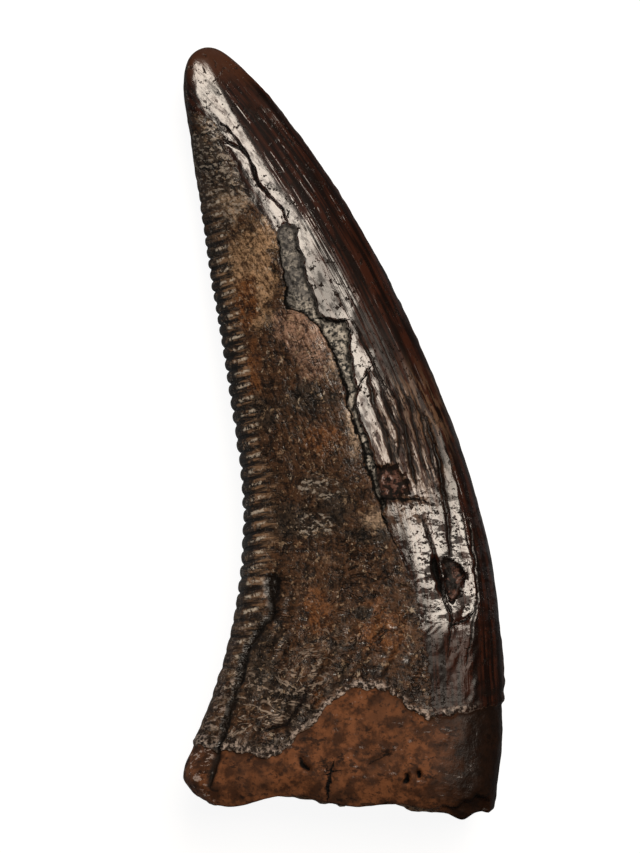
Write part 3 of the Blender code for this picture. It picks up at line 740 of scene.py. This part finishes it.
class Nodes:
    """A new material, with short names for the shader nodes that it is made of."""

    def __init__(self, name):
        self.material = bpy.data.materials.new(name)
        self.material.use_nodes = True
        self.tree = self.material.node_tree
        self.tree.nodes.clear()

    def add(self, kind, inputs=(), **settings):
        node = self.tree.nodes.new(kind)
        for name, value in settings.items():
            setattr(node, name, value)
        for name, value in dict(inputs).items():
            if isinstance(value, bpy.types.NodeSocket):
                self.tree.links.new(value, node.inputs[name])
            else:
                node.inputs[name].default_value = value
        return node

    def layer(self, name):
        return self.add("ShaderNodeAttribute", attribute_name=name).outputs["Fac"]

    def math(self, operation, *values):
        return self.add("ShaderNodeMath", enumerate(values), operation=operation).outputs[0]

    def join(self, operation, total, *values):
        for value in values:
            total = self.math(operation, total, value)
        return total

    def sum(self, *values):
        return self.join("ADD", *values)

    def times(self, *values):
        return self.join("MULTIPLY", *values)

    def most(self, *values):
        return self.join("MAXIMUM", *values)

    def rest(self, value):
        """What is left of 1."""
        return self.math("SUBTRACT", 1.0, value)

    def sway(self, noise, size):
        """The noise about 0 instead of 0.5, and so many times as strong."""
        return self.times(self.sum(noise, -0.5), size)

    def from_half(self, value):
        return self.math("ABSOLUTE", self.sum(value, -0.5))

    def ramp(self, value, start, end, low=0.0, high=1.0):
        """low before start, high after end, and smooth between."""
        inputs = {"Value": value, "From Min": start, "From Max": end, "To Min": low, "To Max": high}
        return self.add("ShaderNodeMapRange", inputs, interpolation_type="SMOOTHSTEP").outputs[0]

    def between(self, value, start, rise, fall, end):
        """1 from rise to fall, 0 before start and after end, and smooth between."""
        return self.times(self.ramp(value, start, rise), self.ramp(value, end, fall))

    def line(self, name, noise, sway, start, end):
        """1 on the lines that lines_near gave, and 0 from start half widths out, where they waver."""
        across = self.math("ABSOLUTE", self.layer(name + "_across"))
        across = self.sum(across, self.sway(noise, sway))
        return self.times(self.ramp(across, start, end), self.layer(name + "_near"))

    def scaled(self, vector, scale):
        inputs = {0: vector, 1: scale}
        return self.add("ShaderNodeVectorMath", inputs, operation="MULTIPLY").outputs[0]

    def noise(self, vector, scale, detail, roughness, distortion=0.0):
        """Noise with a mean of about 0.5. scale is one number, or one for each axis."""
        if isinstance(scale, tuple):
            vector, scale = self.scaled(vector, scale), 1.0
        inputs = {"Vector": vector, "Scale": scale, "Detail": detail, "Roughness": roughness}
        return self.add("ShaderNodeTexNoise", inputs | {"Distortion": distortion}).outputs["Fac"]

    def marks(self, vector, scale, detail, roughness, *limits):
        """Noise with a ramp over it; the limits are the ramp's."""
        return self.ramp(self.noise(vector, scale, detail, roughness), *limits)

    def blend(self, amount, first, second):
        """Between two numbers."""
        return self.add("ShaderNodeMix", {0: amount, 2: first, 3: second}).outputs[0]

    def mix(self, amount, *colours):
        """Between two colours. A tuple is one from 0 to 255."""
        first, second = (linear(c) if isinstance(c, tuple) else c for c in colours)
        return self.add("ShaderNodeMix", {0: amount, 6: first, 7: second}, data_type="RGBA").outputs[2]

    def painted(self, surface, *coats):
        """The surface under coats of colour, each a tint and amounts that are multiplied."""
        for tint, *amounts in coats:
            surface = self.mix(self.times(*amounts), surface, tint)
        return surface


def worn_face(n, point, mottle, weave_and_shade):
    """The worn face's colour, partly painted shade: the weave is 0 in its hollows, 1 on its high spots."""
    low, high = FACE_TONES
    for name, (low_tone, high_tone) in STAIN_TONES.items():
        amount = n.ramp(n.sum(n.layer(name), n.sway(mottle, 2.2)), 0.15, 1.0)
        low, high = n.mix(amount, low, low_tone), n.mix(amount, high, high_tone)
    marks = [(tint, n.marks(point, *noise), strength) for noise, strength, tint in FACE_MARKS_AND_GLINTS]
    # painted highlights: small light flecks in the ash stain
    painted_ash_glints = n.marks(point, (4.5, 8.0, 4.0), 2.0, 0.6, 0.545, 0.59)
    marks.append(((158, 148, 136), painted_ash_glints, n.ramp(n.layer("ash"), 0.2, 0.6), 0.7))
    return n.painted(n.mix(weave_and_shade, low, high), *marks)


def fossil_material():
    n = Nodes("fossil_enamel_and_root")
    flow = n.add("ShaderNodeAttribute", attribute_name="flow").outputs["Vector"]
    point = n.scaled(n.add("ShaderNodeTexCoord").outputs["Object"], (1.0 / MM,) * 3)

    # noises in space, from fine to broad, and along the tooth
    grit = n.noise(point, 13.0, 2.0, 0.6)
    fine = n.noise(point, 6.2, 3.0, 0.62)
    crumb = n.noise(point, 3.2, 5.0, 0.70)
    mottle = n.noise(point, 1.7, 4.0, 0.62)
    flecks = n.noise(point, (1.2, 2.5, 2.0), 6.0, 0.70)
    patches = n.noise(point, 0.6, 3.0, 0.55)
    fibre = n.noise(flow, (8.0, 1.8, 1.0), 3.0, 0.62)
    streak = n.noise(flow, (6.5, 0.28, 1.0), 2.0, 0.5)
    striae = n.noise(flow, (9.0, 0.35, 1.0), 2.0, 0.5)
    split = n.noise(flow, (6.0, 0.9, 1.0), 4.0, 0.64)
    rib = n.noise(flow, (0.8, 6.5, 1.0), 3.0, 0.62)
    waver = n.sway(fine, 0.16)
    foot = n.layer("foot")
    coarse = n.blend(n.ramp(foot, 0.0, 1.0, 0.25, 0.92), fibre, crumb)
    weave_height = n.sum(n.times(coarse, 0.46), n.times(fine, 0.32), n.times(grit, 0.22))
    # the weave is the relief's height as colour: partly painted shade, darker in hollows, lighter on high
    # spots
    weave_and_shade = n.ramp(weave_height, 0.42, 0.585)

    # where things are: 1 on them, 0 away from them, and millimetres for a gap
    upper, place, in_break = n.layer("upper"), n.layer("place"), n.layer("break")
    root_gap = n.sum(n.layer("root_gap"), waver)
    on_root = n.ramp(root_gap, 0.03, -0.03)
    on_crown = n.rest(on_root)
    in_chip = n.ramp(n.sum(n.layer("chip_gap"), waver), 0.01, -0.03)
    crack = n.line("crack", fine, 3.5, 1.05, 0.45)
    furrow = n.line("furrow", fine, 3.5, 1.05, 0.45)
    furrow_wide = n.line("furrow", fine, 5.0, 3.2, 1.0)
    in_hole = n.ramp(n.sum(n.layer("hole_gap"), n.times(waver, 0.5)), 0.02, -0.05)
    in_hollow = n.ramp(n.sum(n.layer("hollow_gap"), n.sway(crumb, 1.1)), 0.02, -0.05)
    gloss_gap = n.sum(n.layer("gloss_gap"), n.sway(mottle, 0.9), n.times(waver, 2.0))
    glossy = n.times(n.ramp(gloss_gap, -0.06, 0.10), on_crown)
    slivers = n.ramp(n.layer("slivers"), 0.1, 0.55)
    crease = n.ramp(n.from_half(n.noise(point, (0.75, 1.15, 1.0), 4.0, 0.62, 0.6)), 0.018, 0.003)
    crease = n.times(crease, n.ramp(patches, 0.44, 0.54), n.ramp(glossy, 1.0, 0.0), on_crown)
    by_carina = n.times(n.ramp(root_gap, 4.0, 2.2), n.ramp(place, 0.46, 0.30), on_crown)
    # light wrinkle lines by the carina: relief, with painted highlights in their colour
    wrinkle_and_glint = n.ramp(n.from_half(n.noise(point, (0.75, 1.7, 1.0), 2.0, 0.55, 1.2)), 0.045, 0.014)
    wrinkle_and_glint = n.times(wrinkle_and_glint, by_carina, n.ramp(crumb, 0.43, 0.50))
    # the groove, its dark colour widened over its shadow: partly painted shade
    groove = n.ramp(n.sum(n.layer("groove_gap"), n.times(waver, 1.5)), 0.15, -0.03)
    # dark spots in the polish
    spots = n.marks(point, (5.2, 4.0, 4.0), 3.0, 0.7, 0.585, 0.64)
    spots = n.times(spots, n.marks(point, 0.9, 3.0, 0.6, 0.40, 0.56), glossy)
    pits = n.marks(point, (4.6, 6.2, 4.0), 3.0, 0.7, 0.60, 0.64)
    spots = n.most(spots, n.times(pits, glossy, n.ramp(foot, 0.3, 0.9)))
    # the crust that the enamel ends in, wider by the carina, and the dark line above it
    crust = n.times(n.between(root_gap, 0.0, 0.04, 0.16, 0.42), n.ramp(mottle, 0.38, 0.52))
    crust = n.times(crust, n.ramp(place, 0.93, 0.80))
    strip = n.times(n.between(root_gap, 0.03, 0.08, 0.36, 0.62), n.ramp(place, 0.44, 0.34))
    strip = n.times(strip, on_crown, n.ramp(crumb, 0.42, 0.52))
    above = n.times(n.between(root_gap, 0.34, 0.46, 0.50, 0.85), n.ramp(mottle, 0.60, 0.48))
    # the serrations: keel is the brown behind their outer edge, painted dark as shade where it falls steeply
    # away
    wear = n.layer("denticle_wear")
    carina_gap = n.sum(n.layer("carina_gap"), waver)
    far_in = n.sum(carina_gap, n.sway(crumb, 2.2))
    keel_start, keel_end = n.ramp(foot, 0.0, 0.5, 1.00, 1.35), n.ramp(foot, 0.0, 0.5, 0.70, 1.0)
    keel = n.times(n.ramp(far_in, keel_start, keel_end), wear)
    outer = n.times(n.ramp(far_in, 0.58, 0.34), wear)
    notch = n.from_half(n.math("FRACT", n.layer("denticle_phase")))
    # the notches between serrations: a line in the relief, and painted shade in the colour
    notch_line_and_shade = n.ramp(n.sum(notch, n.times(waver, 0.25)), 0.34, 0.45)
    # painted highlights: light flecks on the serrations low on the crown, where they are little worn
    painted_edge_glints = n.marks(point, (2.2, 5.0, 3.0), 4.0, 0.7, 0.56, 0.61)
    painted_edge_glints = n.times(painted_edge_glints, n.ramp(foot, 0.9, 1.0), n.ramp(carina_gap, 1.1, 0.8), upper)
    # painted highlights: light glints on the serrations' ribs behind the keel
    painted_rib_glint = n.times(n.ramp(notch, 0.19, 0.05), n.ramp(fine, 0.45, 0.56), n.ramp(wear, 0.1, 0.5))
    painted_rib_glint = n.times(painted_rib_glint, n.between(carina_gap, 0.30, 0.40, 0.80, 1.00))

    # the colours, each from its lowest coat to its topmost
    enamel = n.painted(
        n.mix(n.ramp(streak, 0.42, 0.62), (18, 8, 5), (50, 24, 14)),
        ((14, 8, 6), n.ramp(mottle, 0.48, 0.66), 0.6),
        (n.mix(fine, (52, 27, 16), (74, 44, 27)), n.layer("tip")),
        ((98, 74, 56), slivers, n.ramp(split, 0.46, 0.56), 0.8),
    )
    root = n.painted(
        n.mix(n.ramp(mottle, 0.38, 0.62), (60, 36, 22), (112, 70, 44)),
        ((56, 38, 28), n.ramp(patches, 0.48, 0.62), 0.45),
        ((38, 26, 19), n.ramp(fine, 0.53, 0.66), 0.65),
        ((16, 12, 10), n.marks(point, (1.3, 2.4, 2.0), 5.0, 0.72, 0.57, 0.63), 0.75),
        ((16, 9, 6), n.ramp(place, 0.72, 0.90), 0.92),
    )
    high_up = n.ramp(n.add("ShaderNodeSeparateXYZ", {0: point}).outputs["Y"], 4.4, 5.6)
    # the dentine in the chip, coloured by the same noise as its relief: partly painted shade in its low
    # spots
    dentine = n.painted(
        n.mix(n.ramp(fine, 0.40, 0.58), (38, 40, 41), (190, 184, 174)),
        ((52, 50, 48), n.ramp(mottle, 0.50, 0.60), 0.5),
        # painted shade just inside the chip's walls
        ((17, 14, 12), n.ramp(n.layer("chip_gap"), -0.17, -0.03), 0.75),
        (n.mix(fine, (20, 20, 22), (108, 107, 107)), high_up, n.ramp(crumb, 0.60, 0.46, 0.30, 0.75)),
    )
    broken = n.painted(
        n.mix(n.ramp(crumb, 0.36, 0.64), (62, 42, 30), (164, 128, 96)),
        ((30, 21, 16), n.ramp(fine, 0.52, 0.62), 0.75),
        ((92, 56, 34), n.ramp(patches, 0.46, 0.60), 0.5),
    )
    surface = n.painted(
        worn_face(n, point, mottle, weave_and_shade),
        (enamel, glossy),
        ((12, 9, 7), crease, 0.75),
        # painted glints on the wrinkles
        ((158, 142, 128), wrinkle_and_glint, 0.75),
        (root, on_root),
        (n.mix(n.ramp(fine, 0.44, 0.60), (42, 34, 29), (184, 168, 158)), crust, 0.85),
        (n.mix(n.ramp(fine, 0.44, 0.58), (40, 33, 29), (150, 136, 126)), strip, 0.85),
        ((18, 13, 10), above, on_crown, 0.75),
        (n.mix(n.ramp(rib, 0.42, 0.60), (26, 18, 13), (136, 106, 80)), keel, 0.8),
        # painted shade on the serrations' steep outer edge
        (n.mix(n.ramp(crumb, 0.52, 0.62), (14, 11, 9), (84, 76, 68)), outer, 0.92),
        # painted glints on the lower serrations
        ((170, 152, 142), painted_edge_glints, n.ramp(wear, 0.6, 0.2), 0.75),
        # painted glints on the serrations' ribs
        ((200, 188, 172), painted_rib_glint, 0.8),
        # painted shade in the notches
        ((10, 8, 6), keel, notch_line_and_shade, n.ramp(carina_gap, 1.2, 0.7), 0.85),
        (dentine, in_chip),
        (n.mix(n.ramp(crumb, 0.46, 0.57), (10, 7, 6), (92, 62, 52)), in_hollow, 0.93),
        # the groove's dark, partly painted shade
        ((11, 8, 6), groove, 0.93),
        ((28, 17, 12), furrow_wide, 0.8),
        ((12, 8, 6), furrow, 0.95),
        ((8, 7, 6), n.most(in_hole, crack)),
        (broken, in_break),
        ((26, 18, 13), spots, 0.8),
    )

    # how much polish there is: most on the band, less where it is rubbed, and glints elsewhere
    cut_here = n.most(in_chip, crack, in_hole, in_break)
    hollow_floor = n.times(in_hollow, n.ramp(crumb, 0.60, 0.54))
    dull = n.most(cut_here, hollow_floor, n.times(furrow_wide, 0.9))
    clean = n.marks(flow, (3.0, 1.3, 1.0), 5.0, 0.72, 0.38, 0.54, 0.25, 1.0)
    clean = n.times(clean, n.blend(slivers, 1.0, n.ramp(split, 0.50, 0.58, 0.08, 1.0)))
    clean = n.times(clean, n.ramp(gloss_gap, 1.6, 3.0, 1.0, 0.55))
    low_band = n.times(n.ramp(foot, 0.6, 1.0), glossy)
    clean = n.blend(low_band, clean, n.ramp(flecks, 0.455, 0.505, 0.06, 1.0))
    rubbed = n.marks(point, 2.2, 4.0, 0.68, 0.44, 0.62, 0.12, 0.75)
    glints = n.marks(point, (1.9, 5.5, 3.0), 3.0, 0.6, 0.60, 0.66)
    rubbed = n.blend(foot, rubbed, n.most(n.times(rubbed, 0.25), n.times(glints, 0.9)))
    flakes = n.marks(flow, (5.0, 3.4, 1.0), 5.0, 0.72, 0.49, 0.55)
    flakes = n.times(flakes, n.ramp(n.layer("ash"), 0.1, 0.5), n.ramp(gloss_gap, -1.5, -0.3))
    rubbed = n.most(rubbed, n.times(keel, 0.95), n.times(flakes, 0.95))
    on_worn = n.blend(on_root, rubbed, n.times(glints, 0.25))
    coat = n.blend(glossy, on_worn, n.times(clean, n.layer("polish")))
    coat = n.times(coat, n.rest(n.most(dull, spots)))
    rough = n.blend(n.times(glossy, coat), n.ramp(glossy, 0.0, 1.0, 0.55, 0.62), 0.30)
    rough = n.most(rough, n.times(n.most(dull, on_root), 0.70))
    rough = n.times(rough, n.ramp(place, 0.70, 0.90, 1.0, 0.55))

    # the relief that is too fine for the mesh
    worn = n.times(on_crown, n.rest(glossy))
    near_keel = n.times(n.ramp(carina_gap, 2.6, 1.3), worn)
    beside_band = n.times(n.ramp(gloss_gap, 0.9, 1.5), glossy)
    parts = (
        (weave_height, n.most(worn, n.ramp(gloss_gap, 1.3, 0.7, 0.04, 0.12))),
        (rib, near_keel, 0.75),
        (n.ramp(streak, 0.58, 0.68), n.ramp(mottle, 0.42, 0.56), beside_band, 0.10),
        (striae, n.layer("striae"), glossy, 0.35),
        (split, slivers, glossy, 0.20),
        (flecks, low_band, 0.25),
        (spots, -0.25),
        (mottle, on_root, 0.35),
        (fine, on_root, 0.25),
        (grit, cut_here, 0.8),
        (crumb, in_break, 2.5),
        (fine, n.most(cut_here, crust), 0.7),
        (n.most(crack, in_hole), -0.5),
        (in_chip, -0.6),
        (in_hollow, -0.5),
        (furrow, -0.3),
        (crease, -0.45),
        (wrinkle_and_glint, 0.6),
        (notch_line_and_shade, keel, n.ramp(carina_gap, 1.3, 0.6), -0.7),
    )
    height = n.sum(*(n.times(*part) for part in parts))
    bump = {"Height": height, "Distance": RELIEF * MM, "Strength": 1.0}
    normal = n.add("ShaderNodeBump", bump).outputs["Normal"]

    inputs = {
        "Base Color": surface, "Roughness": rough, "Normal": normal, "IOR": BODY_IOR,
        "Coat Weight": coat, "Coat Roughness": POLISH_ROUGHNESS, "Coat IOR": POLISH_IOR,
        "Coat Normal": normal,
    }
    shader = n.add("ShaderNodeBsdfPrincipled", inputs)
    n.add("ShaderNodeOutputMaterial", {"Surface": shader.outputs[0]})
    return n.material


# ---- the tooth on its frame ----


def put(name, data):
    """A new object in the scene."""
    made = bpy.data.objects.new(name, data)
    bpy.context.scene.collection.objects.link(made)
    return made


tooth = put("fossil_tooth", tooth_mesh())
tooth.data.materials.append(fossil_material())
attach(tooth, BODY)
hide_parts(NODE)


# ---- the stage, light and camera ----

FRAME_HEIGHT = PHOTO_SIZE[1] * PHOTO_SCALE  # at the height of the tooth's outline
OUTLINE_MIDDLE = 0.07  # x of the outline's middle, within 0.1: the part's origin is near it
OUTLINE_HEIGHT = 2.4
LENS = 300.0
SENSOR = 36.0
CLIP_START = 0.01  # metres
FLOOR_SIZE = 6000.0
SOFTBOX_HEIGHT = 400.0
SOFTBOX_ACROSS = (-4.0, 32.0)  # degrees from straight up, towards the mesial side
SOFTBOX_ALONG = (4.0, 52.0)  # and towards the tip
SOFTBOX_RADIANCE = 7.9
SOFTBOX_TINT = (1.0, 0.88, 0.75)
AMBIENT = 0.03
AMBIENT_TINT = (1.0, 0.98, 0.96, 1.0)
FLOOR_GREY = 0.18
FLOOR_GLOW = 0.92
FLOOR_IN_GLOSS = 0.05
FLOOR_IN_DIFFUSE = 0.45


def floor_material():
    n = Nodes("pale_floor")
    # The floor lights the tooth less than it shows, as with black card round a glossy specimen.
    path = n.add("ShaderNodeLightPath").outputs
    less = n.blend(path["Is Diffuse Ray"], 1.0, FLOOR_IN_DIFFUSE)
    less = n.blend(path["Is Glossy Ray"], less, FLOOR_IN_GLOSS)
    tone = n.times(less, FLOOR_GREY)
    diffuse = n.add("ShaderNodeBsdfDiffuse", {"Color": tone})
    glow = n.add("ShaderNodeEmission", {"Color": tone, "Strength": FLOOR_GLOW / FLOOR_GREY})
    both = n.add("ShaderNodeAddShader", {0: diffuse.outputs[0], 1: glow.outputs[0]})
    n.add("ShaderNodeOutputMaterial", {"Surface": both.outputs[0]})
    return n.material


def make_floor():
    half = FLOOR_SIZE * MM / 2.0
    mesh = bpy.data.meshes.new("floor")
    corners = [(-half, -half, 0.0), (half, -half, 0.0), (half, half, 0.0), (-half, half, 0.0)]
    mesh.from_pydata(corners, [], [(0, 1, 2, 3)])
    mesh.materials.append(floor_material())
    floor = put("floor", mesh)


def make_softbox():
    left, right = SOFTBOX_HEIGHT * np.tan(np.radians(SOFTBOX_ACROSS))
    near, far = SOFTBOX_HEIGHT * np.tan(np.radians(SOFTBOX_ALONG))
    light = bpy.data.lights.new("softbox", "AREA")
    light.shape = "RECTANGLE"
    light.size, light.size_y = (right - left) * MM, (far - near) * MM
    light.color = SOFTBOX_TINT
    light.energy = SOFTBOX_RADIANCE * np.pi * light.size * light.size_y
    middle = ((left + right) / 2.0 * MM, (near + far) / 2.0 * MM, SOFTBOX_HEIGHT * MM)
    put("softbox", light).location = middle


def make_world():
    world = bpy.data.worlds.new("soft_room")
    world.use_nodes = True
    background = world.node_tree.nodes["Background"]
    background.inputs["Color"].default_value = AMBIENT_TINT
    background.inputs["Strength"].default_value = AMBIENT
    bpy.context.scene.world = world


def make_camera():
    camera = bpy.data.cameras.new("camera")
    camera.lens = LENS
    camera.sensor_fit = "VERTICAL"
    camera.sensor_height = SENSOR
    camera.clip_start = CLIP_START
    distance = FRAME_HEIGHT * LENS / SENSOR
    seat = put("camera", camera)
    ((x, y),) = seen_at((PHOTO_SIZE[0] / 2.0, PHOTO_SIZE[1] / 2.0))
    seat.location = ((x - OUTLINE_MIDDLE) * MM, y * MM, (OUTLINE_HEIGHT + distance) * MM)
    bpy.context.scene.camera = seat


make_floor()
make_softbox()
make_world()
make_camera()
bpy.context.scene.view_settings.view_transform = "Standard"
